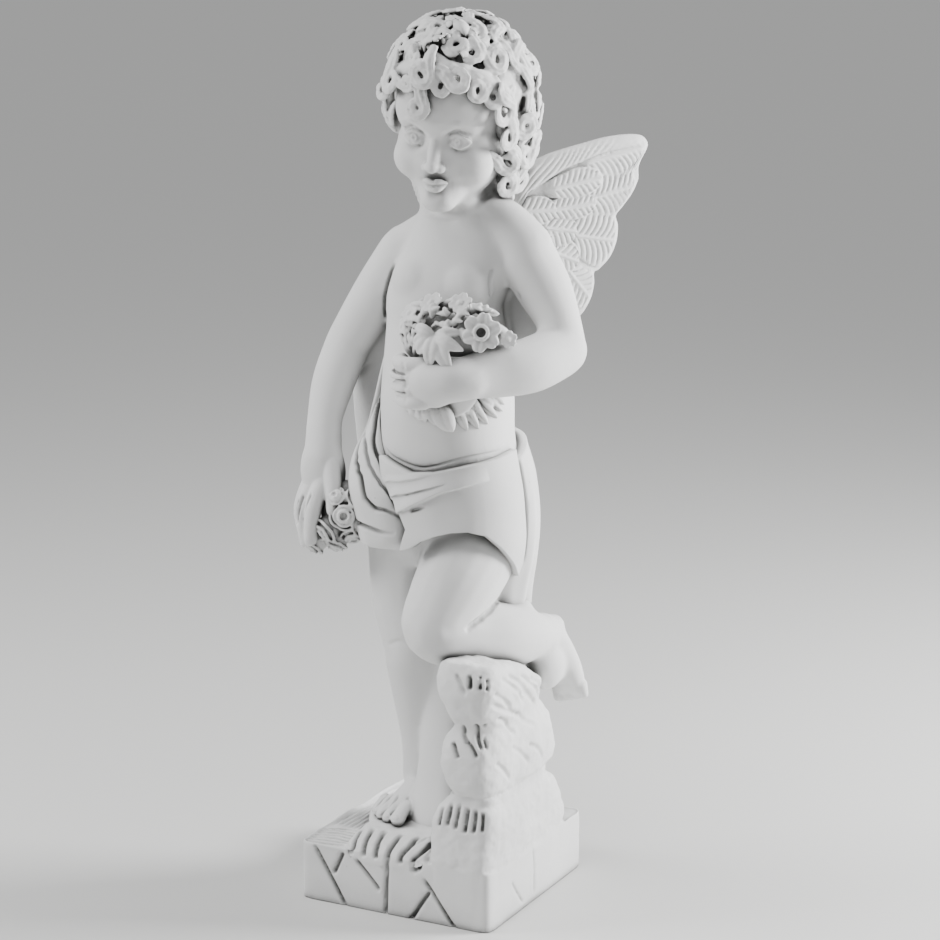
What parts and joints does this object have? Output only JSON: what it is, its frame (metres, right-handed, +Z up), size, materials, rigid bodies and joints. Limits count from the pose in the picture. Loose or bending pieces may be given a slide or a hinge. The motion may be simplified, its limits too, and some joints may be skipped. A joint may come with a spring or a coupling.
{
  "type": "angel garden statue",
  "caption": "White cast-stone garden statue of a winged child kneeling with one leg on stacked rock, holding flowers, on a square plinth.",
  "frame": {"origin": "centre of the plinth's underside, on the ground", "axes": "+Z up; the plinth's front face looks along -Y; +X is to the viewer's right when facing the front"},
  "size_m": [0.2574, 0.2512, 0.7813],
  "materials": {
    "cast_stone": "matte white cast stone with fine pinholes and slightly grey recesses"
  },
  "bodies": {
    "root": {"angel_statue": "cast_stone"}
  },
  "joints": []
}
